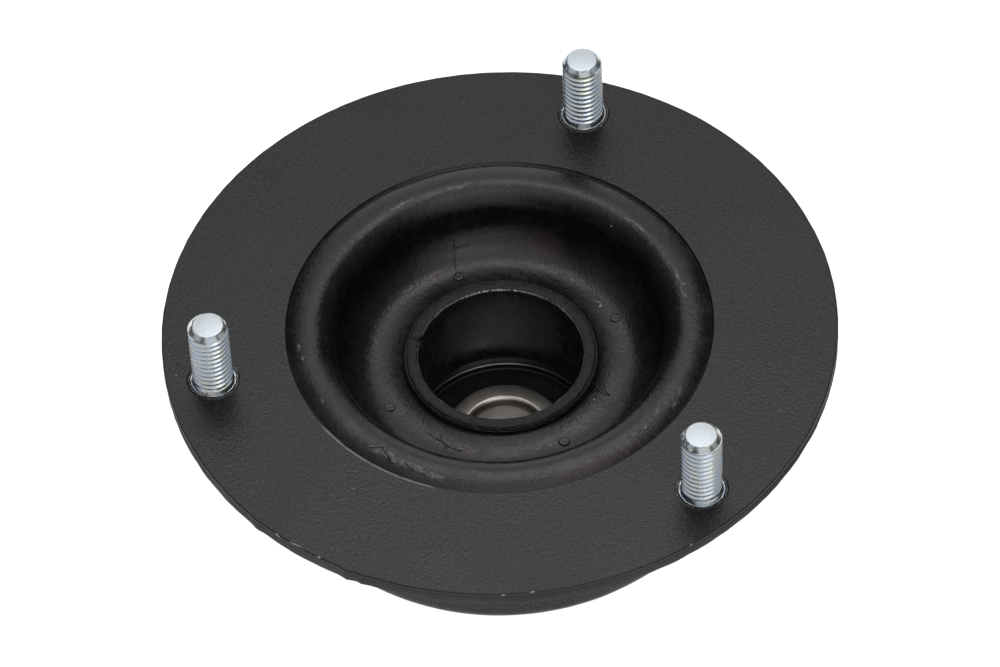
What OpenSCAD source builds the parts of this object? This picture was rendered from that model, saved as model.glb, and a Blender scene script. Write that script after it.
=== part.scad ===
// Strut mount: studded plate, rubber element and housing with a sealed ball bearing. Sizes in millimetres.
// The origin is the centre of the plate's top face. +Z runs along the studs, and the first stud is on +Y.

/* [Mounting plate] */
// Outer diameter of the plate
plate_d = 130; // [116:0.5:150]
// Sheet thickness of the plate
plate_t = 2.5; // [2:0.1:3.5]
// Width of the plate's rim outside the cup's wall
rim_w = 19; // [17:0.5:22]
// Width of the plate's ledge inside the cup's outside, over the rubber
ledge_w = 4.8; // [3.5:0.1:6]
// Edge break of the plate's rim and opening
plate_edge = 0.4; // [0.2:0.1:0.6]

/* [Studs] */
// Number of studs
stud_count = 3; // [2:1:6]
// Distance from the plate's rim to the middle of a stud
stud_inset = 9; // [8:0.25:10]
// Thread diameter of the studs
stud_d = 8; // [6:0.2:9]
// Height of the studs above the plate
stud_h = 16.6; // [10:0.2:30]
// Chamfer at the tip of a stud
stud_chamfer = 1; // [0.4:0.1:1.4]
// Width of the pressed-in collar around the thread
collar_w = 0.9; // [0.5:0.1:1.2]
// Width of the head around the collar
head_w = 1.6; // [1:0.1:2]
// Thickness of the head under the cup's flange
head_t = 2; // [1.5:0.1:3]

/* [Lower cup] */
// Sheet thickness of the cup
cup_t = 2; // [1.5:0.1:2.5]
// Depth of the cup below the plate
cup_h = 31.5; // [28:0.5:35]
// Inside radius of the cup's bends
cup_bend = 1; // [0.5:0.1:1.5]
// Width of the lip at the bottom of the cup
cup_lip = 6; // [5:0.5:8]
// Distance from the plate's rim to the edge of the cup's flange
flange_inset = 2; // [1:0.1:3]

/* [Rubber] */
// Height of the outer roll above the plate
roll_rise = 0.5; // [0:0.1:1.5]
// Distance from the opening's edge to the roll's crest, as a share of the rubber's width
roll_inset_share = 0.21; // [0.18:0.002:0.24]
// Radius of the roll on its inner side, as a share of the rubber's width
roll_share = 0.223; // [0.19:0.001:0.25]
// Radius of the roll on its outer side, as a share of the rubber's width
roll_outer_share = 0.45; // [0.36:0.01:0.8]
// Depth of the bowl's bottom below the housing's top edge
bowl_drop = 2.65; // [1.5:0.05:3.5]
// Radius of the bowl inside the roll, as a share of the rubber's width
bowl_share = 0.353; // [0.3:0.001:0.4]
// Radius of the gentle rise from the bowl's bottom to the housing
rise_r = 12.5; // [8:0.5:20]
// Fillet radius between the rise and the housing
rise_fillet = 1; // [0.5:0.1:1.5]
// Radius of the hollow in the rubber's under side
hollow_r = 6.5; // [4:0.1:7]
// Number of moulding nubs in the bowl
nub_count = 4; // [2:1:8]
// Diameter of a moulding nub
nub_d = 2.2; // [1.6:0.1:2.8]
// Height of a moulding nub
nub_h = 0.35; // [0.2:0.05:0.6]
// Turn of the first nub from +X, in degrees
nub_turn = 42.7; // [0:0.1:90]

/* [Bearing housing] */
// Inside diameter of the neck
neck_d = 31.8; // [29:0.2:34]
// Wall thickness of the neck
neck_wall = 2.9; // [2.4:0.1:3.3]
// Depth of the neck's top edge below the plate's top face
neck_depth = 9; // [7:0.5:11]
// Edge break at the top of the neck
neck_edge = 0.4; // [0.2:0.1:0.8]
// Width of the shoulder that the bearing seats against
shoulder_w = 2; // [1.4:0.1:2.4]
// Height of the chamber
chamber_h = 4; // [3:0.1:5]
// Rounding of the neck's lower edge
chamber_round = 1.4; // [0.6:0.1:2]
// Depth of the bearing below the plate's top face
seat_depth = 34.5; // [32:0.5:38]
// Wall thickness around the bearing
seat_wall = 3; // [2.4:0.1:3.6]
// Thickness of the rolled lip under the bearing
lip_t = 1.8; // [1.2:0.1:2.6]
// Reach of the rolled lip over the outer ring
lip_reach = 1.8; // [1.4:0.1:2.2]
// Rounding of the housing's lower corner
lip_round = 1.2; // [0.6:0.1:1.6]

/* [Bearing] */
// Bore of the inner ring
bore_d = 14; // [12:0.5:15]
// Outside diameter of the outer ring
bearing_d = 42; // [39:0.5:46]
// Width of the outer ring
bearing_w = 13; // [12:0.1:15]
// Distance by which the inner ring stands above the outer ring
inner_rise = 2; // [0:0.1:2.6]
// Outside diameter of the inner ring
inner_land_d = 23.1; // [21:0.1:25]
// Inside diameter of the outer ring
outer_land_d = 33.7; // [31:0.1:36]
// Step from the outer ring's inside to its seal recess
seal_step = 1.3; // [1:0.05:1.5]
// Chamfer of the outer ring, and radial chamfer of the bore
ring_chamfer = 0.8; // [0.4:0.1:1]
// Axial length of the bore's chamfer
bore_break = 1.04; // [0.4:0.02:1.4]
// Edge break of the inner ring's outside
land_break = 0.3; // [0.1:0.05:0.5]
// Thickness of the steel washer in a seal
core_t = 0.3; // [0.2:0.05:0.4]
// Width of the seal's lip inside the washer
seal_lip_w = 0.8; // [0.5:0.1:1.2]
// Width of the seal's bead outside the washer
seal_bead_w = 0.9; // [0.5:0.1:1.2]
// Number of balls
ball_count = 7; // [5:1:8]
// Diameter of a ball
ball_d = 7.94; // [7:0.02:8.6]
// Radius by which a race groove is wider than a ball
groove_over = 0.16; // [0.1:0.01:0.3]
// Sheet thickness of the cage
cage_t = 0.7; // [0.5:0.05:0.8]
// Radial width of the cage
cage_w = 3.4; // [3:0.1:3.8]
// Radius of a cage rivet's shank, as a share of the web between two pockets
rivet_share = 0.4; // [0.3:0.02:0.5]
// Radius of a cage rivet's head, as a share of the web between two pockets
rivet_head_share = 0.68; // [0.55:0.01:0.85]
// Thickness of a rivet's head
rivet_head_t = 0.4; // [0.3:0.05:0.6]

/* [Clearances] */
// Radial clearance between a ball and a race
ball_clearance = 0.05; // [0.02:0.01:0.08]
// Clearance between a ball and its pocket in the cage
pocket_clearance = 0.25; // [0.2:0.05:0.3]
// Radial clearance between a seal and the inner ring
seal_clearance = 0.25; // [0.15:0.05:0.4]
// Clearance between the cage and a seal
cage_clearance = 0.28; // [0.2:0.02:0.4]
// Depth of a seal below the outer ring's face
seal_sink = 0.3; // [0.2:0.05:0.4]

/* [Hidden] */
$fn = 96;
eps = 1;
plate_r = plate_d / 2;
cup_r = plate_r - rim_w;
opening_r = cup_r - ledge_w;
stud_circle_r = plate_r - stud_inset;
stud_r = stud_d / 2;
collar_r = stud_r + collar_w;
head_r = collar_r + head_w;
head_z = -plate_t - cup_t;

cup_z = -plate_t - cup_h;
flange_r = plate_r - flange_inset;
bend_outer = cup_bend + cup_t;
bend_top_r = cup_r + cup_bend;
bend_top_z = -plate_t - bend_outer;
bend_low_r = cup_r - bend_outer;
bend_low_z = cup_z + bend_outer;

neck_r = neck_d / 2;
neck_outer_r = neck_r + neck_wall;
chamber_z = chamber_h - seat_depth;
seat_r = bearing_d / 2;
chamber_r = seat_r - shoulder_w;
seat_outer_r = seat_r + seat_wall;
shoulder_z = chamber_h / 2 - seat_depth;
cone_z = shoulder_z + seat_outer_r - neck_outer_r;
lip_z = -seat_depth - bearing_w;
housing_z = lip_z - lip_t;

rubber_z = cup_z + cup_t;
rubber_w = opening_r - neck_outer_r;
roll_inset = roll_inset_share * rubber_w;
roll_r = roll_share * rubber_w;
roll_outer_r = roll_outer_share * rubber_w;
bowl_r = bowl_share * rubber_w;
roll_crest_r = opening_r - roll_inset;
roll_z = roll_rise - roll_r;
bowl_z = -neck_depth - bowl_drop;
bowl_cz = bowl_z + bowl_r;
bowl_lift = max(0, bowl_cz - roll_z);
bowl_cr = roll_crest_r - sqrt(pow(roll_r + bowl_r, 2) - pow(bowl_lift, 2));
roll_part = roll_r / (roll_r + bowl_r);
meet_r = roll_crest_r - (roll_crest_r - bowl_cr) * roll_part;
meet_z = min(bowl_cz, roll_z + bowl_lift * roll_part);
rise_z = bowl_z + rise_r;
fillet_r = neck_outer_r + rise_fillet;
fillet_z = rise_z - sqrt(pow(rise_r - rise_fillet, 2) - pow(bowl_cr - fillet_r, 2));
touch_r = bowl_cr - (bowl_cr - fillet_r) * rise_r / (rise_r - rise_fillet);
hollow_cr = (seat_outer_r + cup_r - cup_lip) / 2;
nub_r = nub_d / 2;

bearing_z = -seat_depth - bearing_w / 2;
half_w = bearing_w / 2;
bore_r = bore_d / 2;
inner_land_r = inner_land_d / 2;
outer_land_r = outer_land_d / 2;
seal_r = outer_land_r + seal_step;
ball_r = ball_d / 2;
pitch_r = (inner_land_r + outer_land_r) / 2;
groove_r = ball_r + groove_over;
inner_groove_r = pitch_r - ball_r - ball_clearance + groove_r;
outer_groove_r = pitch_r + ball_r + ball_clearance - groove_r;
pocket_r = ball_r + pocket_clearance;
recess_z = pocket_r + cage_t + cage_clearance;
seal_top = half_w - seal_sink;
core_z = recess_z + core_t;
seal_inner_r = inner_land_r + seal_clearance;
core_inner_r = seal_inner_r + seal_lip_w;
core_outer_r = seal_r - seal_bead_w;
cage_inner_r = pitch_r - cage_w / 2;
cage_outer_r = pitch_r + cage_w / 2;
ball_step = 360 / ball_count;
web = pitch_r * sin(ball_step / 2) - pocket_r - cage_t;
rivet_r = rivet_share * web;
rivet_head_r = rivet_head_share * web;

steel_black = [0.13, 0.13, 0.13];
steel_zinc = [0.8, 0.82, 0.84];
steel_ground = [0.62, 0.61, 0.59];
rubber_black = [0.06, 0.06, 0.06];

BALLS = [for (i = [1:ball_count]) str("ball_", i)];

// Box in the section plane from one corner to the other
module box(low, high) {
    translate(low)
        square(high - low);
}

// Quarter of a bent sheet about a centre, on the chosen side and height
module bend(at, inner, outer, side, up) {
    translate(at)
        intersection() {
            difference() {
                circle(r = outer);
                circle(r = inner);
            }
            translate([side > 0 ? 0 : -outer, up > 0 ? 0 : -outer])
                square(outer);
        }
}

// Copies round the plate at each stud's place
module at_studs() {
    for (i = [0:stud_count - 1])
        rotate(90 + i * 360 / stud_count)
            translate([stud_circle_r, 0, 0])
                children();
}

// Copies round the bearing, at the balls or half a step on
module at_balls(shift) {
    for (i = [0:ball_count - 1])
        rotate((i + shift) * ball_step)
            translate([pitch_r, 0, 0])
                children();
}

// Holes for the studs' collars through a sheet
module stud_holes(low, high) {
    at_studs()
        translate([0, 0, low - eps])
            cylinder(r = collar_r, h = high - low + 2 * eps);
}

module top_plate() {
    color(steel_black)
        difference() {
            rotate_extrude()
                polygon([
                    [opening_r, -plate_t],
                    [plate_r - plate_edge, -plate_t],
                    [plate_r, plate_edge - plate_t],
                    [plate_r, -plate_edge],
                    [plate_r - plate_edge, 0],
                    [opening_r + plate_edge, 0],
                    [opening_r, -plate_edge]
                ]);
            stud_holes(-plate_t, 0);
        }
}

module studs() {
    color(steel_zinc)
        at_studs()
            rotate_extrude()
                polygon([
                    [0, head_z - head_t],
                    [head_r, head_z - head_t],
                    [head_r, head_z],
                    [collar_r, head_z],
                    [collar_r, 0],
                    [stud_r, 0],
                    [stud_r, stud_h - stud_chamfer],
                    [stud_r - stud_chamfer, stud_h],
                    [0, stud_h]
                ]);
}

// Section of the pressed cup: flange, wall and bottom lip
module cup_section() {
    box([bend_top_r, head_z], [flange_r, -plate_t]);
    bend([bend_top_r, bend_top_z], cup_bend, bend_outer, -1, 1);
    box([cup_r - cup_t, bend_low_z], [cup_r, bend_top_z]);
    bend([bend_low_r, bend_low_z], cup_bend, bend_outer, 1, -1);
    box([cup_r - cup_lip, cup_z], [bend_low_r, rubber_z]);
}

module lower_cup() {
    color(steel_black)
        difference() {
            rotate_extrude()
                cup_section();
            stud_holes(head_z, -plate_t);
        }
}

// Outside of the housing, filled to the axis
module housing_outside() {
    polygon([
        [0, -neck_depth],
        [neck_outer_r - neck_edge, -neck_depth],
        [neck_outer_r, -neck_depth - neck_edge],
        [neck_outer_r, cone_z],
        [seat_outer_r, shoulder_z],
        [seat_outer_r, housing_z + lip_round],
        [seat_outer_r - lip_round, housing_z],
        [0, housing_z]
    ]);
}

// Inside of the housing: neck, chamber, bearing seat and lip opening
module housing_inside() {
    box([0, chamber_z], [neck_r, eps - neck_depth]);
    polygon([
        [neck_r, -neck_depth - neck_edge],
        [neck_r + neck_edge + eps, eps - neck_depth],
        [neck_r, eps - neck_depth]
    ]);
    difference() {
        box([neck_r, chamber_z], [neck_r + chamber_round, chamber_z + chamber_round]);
        translate([neck_r + chamber_round, chamber_z + chamber_round])
            circle(r = chamber_round);
    }
    box([0, -seat_depth], [chamber_r, chamber_z]);
    box([0, lip_z], [seat_r, -seat_depth]);
    box([0, housing_z - eps], [seat_r - lip_reach, lip_z]);
}

module bearing_housing() {
    color(steel_black)
        rotate_extrude()
            difference() {
                housing_outside();
                housing_inside();
            }
}

// Roll along the opening: a tight inner curve and a wide outer one
module roll_section() {
    intersection() {
        translate([roll_crest_r, roll_z])
            circle(r = roll_r);
        box([meet_r, roll_z], [roll_crest_r, roll_rise]);
    }
    intersection() {
        translate([roll_crest_r, roll_rise - roll_outer_r])
            circle(r = roll_outer_r);
        box([roll_crest_r, roll_z], [opening_r, roll_rise]);
    }
    box([meet_r, rubber_z], [opening_r, roll_z]);
}

// Bowl inside the roll, with a gentle rise and a fillet up to the neck
module bowl_section() {
    difference() {
        box([bowl_cr, rubber_z], [roll_crest_r, meet_z]);
        translate([bowl_cr, bowl_cz])
            circle(r = bowl_r);
    }
    difference() {
        box([neck_r, rubber_z], [bowl_cr, fillet_z]);
        intersection() {
            translate([bowl_cr, rise_z])
                circle(r = rise_r);
            box([touch_r, bowl_z - eps], [bowl_cr + eps, fillet_z + eps]);
        }
        translate([fillet_r, fillet_z])
            circle(r = rise_fillet);
    }
}

// Section of the rubber, bonded to the housing, the cup and the plate's under side
module rubber_section() {
    difference() {
        union() {
            roll_section();
            bowl_section();
            box([opening_r, rubber_z], [bend_top_r, -plate_t]);
        }
        housing_outside();
        cup_section();
        box([cup_r - cup_t, cup_z], [bend_top_r + eps, bend_top_z]);
        translate([bend_top_r, bend_top_z])
            circle(r = bend_outer);
        translate([hollow_cr, rubber_z])
            circle(r = hollow_r);
    }
}

module rubber_element() {
    color(rubber_black) {
        rotate_extrude()
            rubber_section();
        for (i = [0:nub_count - 1])
            rotate(nub_turn + i * 360 / nub_count)
                translate([bowl_cr, 0, bowl_z - nub_r])
                    cylinder(r = nub_r, h = nub_r + nub_h, $fn = 32);
    }
}

module bearing_outer_ring() {
    color(steel_ground)
        translate([0, 0, bearing_z])
            rotate_extrude()
                difference() {
                    polygon([
                        [outer_land_r, -half_w],
                        [seat_r - ring_chamfer, -half_w],
                        [seat_r, ring_chamfer - half_w],
                        [seat_r, half_w - ring_chamfer],
                        [seat_r - ring_chamfer, half_w],
                        [outer_land_r, half_w]
                    ]);
                    translate([outer_groove_r, 0])
                        circle(r = groove_r);
                    box([0, recess_z], [seal_r, half_w + eps]);
                    box([0, -half_w - eps], [seal_r, -recess_z]);
                }
}

module bearing_inner_ring() {
    color(steel_ground)
        translate([0, 0, bearing_z])
            rotate_extrude()
                difference() {
                    polygon([
                        [bore_r + ring_chamfer, -half_w],
                        [inner_land_r - land_break, -half_w],
                        [inner_land_r, land_break - half_w],
                        [inner_land_r, half_w + inner_rise - land_break],
                        [inner_land_r - land_break, half_w + inner_rise],
                        [bore_r + ring_chamfer, half_w + inner_rise],
                        [bore_r, half_w + inner_rise - bore_break],
                        [bore_r, bore_break - half_w]
                    ]);
                    translate([inner_groove_r, 0])
                        circle(r = groove_r);
                }
}

// Rubber part of a seal, facing up
module seal_rubber() {
    rotate_extrude() {
        box([seal_inner_r, core_z], [seal_r, seal_top]);
        box([core_outer_r, recess_z], [seal_r, core_z]);
        box([seal_inner_r, recess_z], [core_inner_r, core_z]);
    }
}

// Steel washer that stiffens a seal, facing up
module seal_washer() {
    rotate_extrude()
        box([core_inner_r, recess_z], [core_outer_r, core_z]);
}

module upper_seal() {
    color(rubber_black)
        translate([0, 0, bearing_z])
            seal_rubber();
}

module upper_seal_core() {
    color(steel_ground)
        translate([0, 0, bearing_z])
            seal_washer();
}

module lower_seal() {
    color(rubber_black)
        translate([0, 0, bearing_z])
            rotate([180, 0, 0])
                seal_rubber();
}

module lower_seal_core() {
    color(steel_ground)
        translate([0, 0, bearing_z])
            rotate([180, 0, 0])
                seal_washer();
}

// Upper half of the ribbon cage, with a pocket round each ball
module cage_half() {
    intersection() {
        difference() {
            union() {
                cylinder(r = cage_outer_r, h = cage_t);
                at_balls(0)
                    sphere(r = pocket_r + cage_t);
            }
            at_balls(0)
                sphere(r = pocket_r);
            at_balls(0.5)
                translate([0, 0, -eps])
                    cylinder(r = rivet_r, h = cage_t + 2 * eps, $fn = 32);
        }
        difference() {
            cylinder(r = cage_outer_r, h = half_w);
            translate([0, 0, -eps])
                cylinder(r = cage_inner_r, h = half_w + 2 * eps);
        }
    }
}

module cage_upper() {
    color(steel_ground)
        translate([0, 0, bearing_z])
            cage_half();
}

module cage_lower() {
    color(steel_ground)
        translate([0, 0, bearing_z])
            rotate([180, 0, 0])
                cage_half();
}

module cage_rivets() {
    color(steel_ground)
        translate([0, 0, bearing_z])
            at_balls(0.5)
                rotate_extrude($fn = 32)
                    polygon([
                        [0, -cage_t - rivet_head_t],
                        [rivet_head_r, -cage_t - rivet_head_t],
                        [rivet_head_r, -cage_t],
                        [rivet_r, -cage_t],
                        [rivet_r, cage_t],
                        [rivet_head_r, cage_t],
                        [rivet_head_r, cage_t + rivet_head_t],
                        [0, cage_t + rivet_head_t]
                    ]);
}

// One ball of the bearing, counted from +X
module ball(i) {
    color(steel_zinc)
        rotate((i - 1) * ball_step)
            translate([pitch_r, 0, bearing_z])
                sphere(r = ball_r);
}

top_plate();
studs();
lower_cup();
rubber_element();
bearing_housing();
bearing_outer_ring();
bearing_inner_ring();
upper_seal();
upper_seal_core();
lower_seal();
lower_seal_core();
cage_upper();
cage_lower();
cage_rivets();
for (i = [1:ball_count])
    ball(i);
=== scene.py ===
"""Looks of a strut mount: a studded plate, a moulded rubber ring and a housing with a sealed bearing.

The classes hold their sizes in millimetres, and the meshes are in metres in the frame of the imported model.
"""

import logging
import math
from dataclasses import dataclass
from enum import Enum

import bmesh
import bpy
from mathutils import Matrix, Vector, noise


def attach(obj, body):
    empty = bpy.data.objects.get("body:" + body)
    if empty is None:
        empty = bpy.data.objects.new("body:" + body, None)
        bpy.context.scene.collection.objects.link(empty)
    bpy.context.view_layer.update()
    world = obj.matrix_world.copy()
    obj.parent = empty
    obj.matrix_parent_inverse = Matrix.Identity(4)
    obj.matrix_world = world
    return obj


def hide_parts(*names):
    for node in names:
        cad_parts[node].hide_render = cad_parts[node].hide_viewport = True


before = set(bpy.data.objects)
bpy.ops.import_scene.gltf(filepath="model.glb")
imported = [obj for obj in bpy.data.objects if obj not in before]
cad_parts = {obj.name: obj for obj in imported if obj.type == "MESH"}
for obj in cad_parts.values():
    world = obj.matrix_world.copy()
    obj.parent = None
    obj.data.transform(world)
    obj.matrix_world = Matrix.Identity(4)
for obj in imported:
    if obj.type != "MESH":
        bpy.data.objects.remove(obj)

LOG = logging.getLogger("strut_mount")
MM = 0.001
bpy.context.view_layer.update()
WHITE = (1.0, 1.0, 1.0, 1.0)

Point = tuple[float, float]
Colour = tuple[float, float, float, float]
Feed = bpy.types.NodeSocket | bpy.types.Node
Tree = bpy.types.NodeTree
Material = bpy.types.Material
Object = bpy.types.Object
Mesh = bmesh.types.BMesh
Verts = list[bmesh.types.BMVert]


class Body(Enum):
    """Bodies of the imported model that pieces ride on."""

    MOUNT = "mount_body"
    INNER_RING = "inner_ring"


class Slot(Enum):
    """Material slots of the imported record."""

    PAINT = "black_paint"
    ZINC = "zinc_plate"
    RUBBER = "black_rubber"
    COATING = "coated_steel"
    STEEL = "ground_steel"
    SEAL = "seal_rubber"
    POLISHED = "polished_steel"


def linear(code: str) -> Colour:
    """Turns an sRGB hex colour to linear.

    Args:
        code: six hex digits.

    Returns:
        The linear colour with full alpha.
    """
    parts = [int(code[i : i + 2], 16) / 255 for i in (0, 2, 4)]
    red, green, blue = (p / 12.92 if p <= 0.04045 else ((p + 0.055) / 1.055) ** 2.4 for p in parts)
    return red, green, blue, 1.0


def add(tree: Tree, kind: str, inputs: dict | None = None, **settings: object) -> bpy.types.Node:
    """Adds a node with its settings and links.

    Args:
        tree: node tree that takes the node.
        kind: node type without its prefix.
        inputs: values, sockets or nodes by input name or number; a node gives its first open output.
        **settings: properties of the node.

    Returns:
        The new node.
    """
    node = tree.nodes.new(f"ShaderNode{kind}")
    for name, value in settings.items():
        setattr(node, name, value)
    for name, value in (inputs or {}).items():
        if isinstance(value, bpy.types.Node):
            value = next(socket for socket in value.outputs if socket.enabled)
        if isinstance(value, bpy.types.NodeSocket):
            tree.links.new(value, node.inputs[name])
        else:
            node.inputs[name].default_value = value
    return node


def arc(centre: Point, radius: float, start: float, end: float, steps: int) -> list[Point]:
    """Points of an arc in the section plane.

    Args:
        centre: centre of the arc, as radius and height.
        radius: radius of the arc.
        start: first angle in degrees, from outwards towards up.
        end: last angle in degrees.
        steps: number of pieces.

    Returns:
        The points, both ends among them.
    """
    angles = [math.radians(start + (end - start) * i / steps) for i in range(steps + 1)]
    return [(centre[0] + radius * math.cos(a), centre[1] + radius * math.sin(a)) for a in angles]


def rounded(
    corners: list[Point], radius: float, steps: int = 3, closed: bool = True
) -> list[Point]:
    """Rounds the corners of a section.

    Args:
        corners: corners as radius and height.
        radius: greatest rounding radius.
        steps: pieces of each rounding.
        closed: whether the section runs back to its first corner.

    Returns:
        The points of the rounded section.
    """
    points: list[Point] = []
    count = len(corners)
    for i, corner in enumerate(corners):
        if not closed and i in (0, count - 1):
            points.append(corner)
            continue
        here = Vector(corner)
        before = Vector(corners[i - 1]) - here
        after = Vector(corners[(i + 1) % count]) - here
        reach = min(radius, 0.45 * before.length, 0.45 * after.length)
        first = here + before.normalized() * reach
        last = here + after.normalized() * reach
        for k in range(steps + 1):
            t = k / steps
            spot = first * (1 - t) ** 2 + here * 2 * t * (1 - t) + last * t**2
            points.append((spot.x, spot.y))
    return points


def lathe(
    bm: Mesh,
    section: list[Point],
    steps: int,
    at: Point = (0.0, 0.0),
    closed: bool = True,
) -> Verts:
    """Spins a section about an upright axis.

    Args:
        bm: mesh that takes the shape.
        section: points as radius and height in millimetres.
        steps: pieces of the full turn.
        at: place of the axis in millimetres.
        closed: whether the section runs back to its first point.

    Returns:
        The vertices of the new shape.
    """
    part = bmesh.new()
    verts = [part.verts.new((r * MM, 0.0, z * MM)) for r, z in section]
    edges = [part.edges.new(pair) for pair in zip(verts, verts[1:])]
    if closed:
        edges.append(part.edges.new((verts[-1], verts[0])))
    bmesh.ops.spin(
        part,
        geom=verts + edges,
        cent=(0.0, 0.0, 0.0),
        axis=(0.0, 0.0, 1.0),
        angle=math.tau / 8,
        steps=steps // 8,
    )
    for share in (8, 4, 2):
        turn = Matrix.Rotation(math.tau / share, 4, "Z")
        copied(part, turn)
    bmesh.ops.remove_doubles(part, verts=part.verts, dist=1e-7)
    bmesh.ops.translate(part, verts=part.verts, vec=(at[0] * MM, at[1] * MM, 0.0))
    return poured(part, bm)


def copied(bm: Mesh, matrix: Matrix) -> None:
    """Adds a moved copy of everything in a mesh.

    Args:
        bm: the mesh.
        matrix: how the copy is moved.
    """
    copy = bmesh.ops.duplicate(bm, geom=bm.verts[:] + bm.edges[:] + bm.faces[:])
    fresh = [g for g in copy["geom"] if isinstance(g, bmesh.types.BMVert)]
    bmesh.ops.transform(bm, matrix=matrix, verts=fresh)


def poured(part: Mesh, bm: Mesh) -> Verts:
    """Adds a finished shape to a mesh.

    Args:
        part: the shape, which is freed.
        bm: mesh that takes it.

    Returns:
        The vertices of the shape in the mesh.
    """
    count = len(bm.verts)
    mesh = bpy.data.meshes.new("shape")
    part.to_mesh(mesh)
    part.free()
    bm.from_mesh(mesh)
    bpy.data.meshes.remove(mesh)
    bm.verts.ensure_lookup_table()
    return bm.verts[count:]


def piece(
    bm: Mesh,
    name: str,
    material: Material,
    body: Body,
    nodes: tuple[str, ...],
    crease: float = 38.0,
) -> Object:
    """Makes an object from a mesh, dresses it and ties it to the frame.

    Args:
        bm: the finished mesh, which is freed.
        name: name of the piece.
        material: its finish.
        body: body that it rides on.
        nodes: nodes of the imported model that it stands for.
        crease: angle in degrees above which an edge is sharp.

    Returns:
        The new object.
    """
    bmesh.ops.recalc_face_normals(bm, faces=bm.faces)
    mesh = bpy.data.meshes.new(name)
    bm.to_mesh(mesh)
    bm.free()
    marked = [e.index for e in mesh.edges if e.use_edge_sharp]
    mesh.shade_smooth()
    mesh.set_sharp_from_angle(angle=math.radians(crease))
    for index in marked:
        mesh.edges[index].use_edge_sharp = True
    mesh.materials.append(material)
    obj = bpy.data.objects.new(name, mesh)
    bpy.context.scene.collection.objects.link(obj)
    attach(obj, body.value)
    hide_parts(*nodes)
    LOG.info("%s: %d faces", name, len(mesh.polygons))
    return obj


@dataclass(frozen=True)
class Mark:
    """One worn place on a surface of the mount.

    Attributes:
        angle: place round the mount in degrees.
        radius: distance from the axis.
        height: height from the plate's top face.
        length: size along its own direction.
        width: size across it.
        turn: its direction in degrees, 0 outwards and 90 along the ring.
        depth: size along the axis.
    """

    angle: float
    radius: float
    height: float
    length: float
    width: float
    turn: float = 90.0
    depth: float = 8.0

    def mask(self, tree: Tree, place: Feed) -> Feed:
        """Adds the nodes of the mark.

        Args:
            tree: node tree of the finish.
            place: coordinates, bent a little where the mark has to wander.

        Returns:
            A value that is 1 in the middle of the mark and 0 at its border.
        """
        a = math.radians(self.angle)
        inputs = {
            "Vector": place,
            "Location": (self.radius * math.cos(a) * MM, self.radius * math.sin(a) * MM, self.height * MM),
            "Rotation": (0.0, 0.0, a + math.radians(self.turn)),
            "Scale": (self.length * MM / 2, self.width * MM / 2, self.depth * MM / 2),
        }
        local = add(tree, "Mapping", inputs, vector_type="TEXTURE")
        return add(tree, "TexGradient", {"Vector": local}, gradient_type="SPHERICAL").outputs["Fac"]


def highest(tree: Tree, masks: list[Feed]) -> Feed:
    """Joins masks.

    Args:
        tree: node tree of the finish.
        masks: the masks, at least one.

    Returns:
        The highest of them.
    """
    total = masks[0]
    for mask in masks[1:]:
        total = add(tree, "Math", {0: total, 1: mask}, operation="MAXIMUM")
    return total


def joined(tree: Tree, marks: tuple[Mark, ...], place: Feed) -> Feed:
    """Joins the masks of several marks that read the same coordinates."""
    return highest(tree, [mark.mask(tree, place) for mark in marks])


@dataclass(frozen=True)
class Finish:
    """Base of the finishes.

    Attributes:
        name: name of the material.
    """

    name: str

    def start(self) -> tuple[Material, Tree, Feed]:
        """Starts the material.

        Returns:
            The material, its tree and its object coordinates.
        """
        material = bpy.data.materials.new(self.name)
        material.use_nodes = True
        tree = material.node_tree
        tree.nodes.clear()
        return material, tree, add(tree, "TexCoord").outputs["Object"]

    def close(self, material: Material, looks: dict) -> Material:
        """Ends the material with its shader.

        Args:
            material: the material.
            looks: what goes into the shader, by input name.

        Returns:
            The same material.
        """
        shader = add(material.node_tree, "BsdfPrincipled", looks)
        add(material.node_tree, "OutputMaterial", {"Surface": shader})
        return material

    def wander(self, tree: Tree, place: Feed, size: float, reach: float) -> Feed:
        """Bends coordinates so that straight marks wander.

        Args:
            tree: node tree of the finish.
            place: coordinates to bend.
            size: size of the bends in millimetres.
            reach: how far they go, in millimetres.

        Returns:
            The bent coordinates.
        """
        cloud = add(tree, "TexNoise", {"Vector": place, "Scale": 1 / (size * MM), "Detail": 2.0})
        middle = {0: cloud.outputs["Color"], 1: (0.5, 0.5, 0.5)}
        shift = add(tree, "VectorMath", middle, operation="SUBTRACT")
        scaled = add(tree, "VectorMath", {0: shift, "Scale": 2 * reach * MM}, operation="SCALE")
        return add(tree, "VectorMath", {0: place, 1: scaled}, operation="ADD")

    def radius(self, tree: Tree, place: Feed) -> Feed:
        """Distance from the mount's axis in metres."""
        flat = add(tree, "VectorMath", {0: place, 1: (1.0, 1.0, 0.0)}, operation="MULTIPLY")
        return add(tree, "VectorMath", {0: flat}, operation="LENGTH")


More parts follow.
